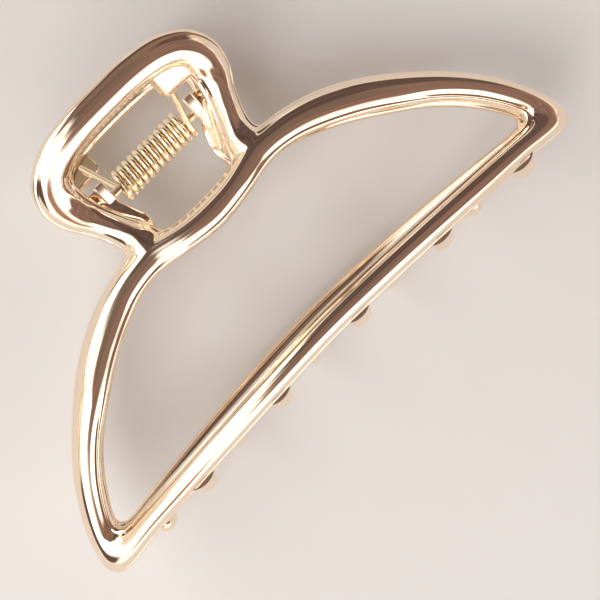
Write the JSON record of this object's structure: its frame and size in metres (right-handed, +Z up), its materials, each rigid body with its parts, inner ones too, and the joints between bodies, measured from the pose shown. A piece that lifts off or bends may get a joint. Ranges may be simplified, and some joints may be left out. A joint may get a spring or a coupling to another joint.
{
  "type": "hair claw clip",
  "caption": "Large open-frame hair claw clip: two gold-plated cast halves with handle loops and toothed half-moon jaws, hinged on a pin and shut by a torsion spring.",
  "frame": {"origin": "on the surface the clip lies on, under the middle of its outline", "axes": "+X along the hinge pin, +Y towards the handles, +Z up, square to the plane where the closed halves meet"},
  "size_m": [0.113, 0.0636, 0.0371],
  "materials": {
    "plated_casting": "mirror-polished pale rose-gold plating",
    "plated_pin": "plated, bright",
    "spring_wire": "gold-plated drawn spring wire"
  },
  "bodies": {
    "lower": {"lower_half": "plated_casting", "hinge_pin": "plated_pin", "torsion_spring": "spring_wire"},
    "upper": {"upper_half": "plated_casting"}
  },
  "joints": [
    {"name": "jaw_hinge", "type": "hinge", "parent": "lower", "child": "upper", "pos_m": [0, 0.01688, 0.01856], "axis": [-1, 0, 0], "range_deg": [0, 75], "stiffness_Nm_per_rad": 0.2, "springref_deg": -22.92, "deforming": ["torsion_spring"]}
  ]
}
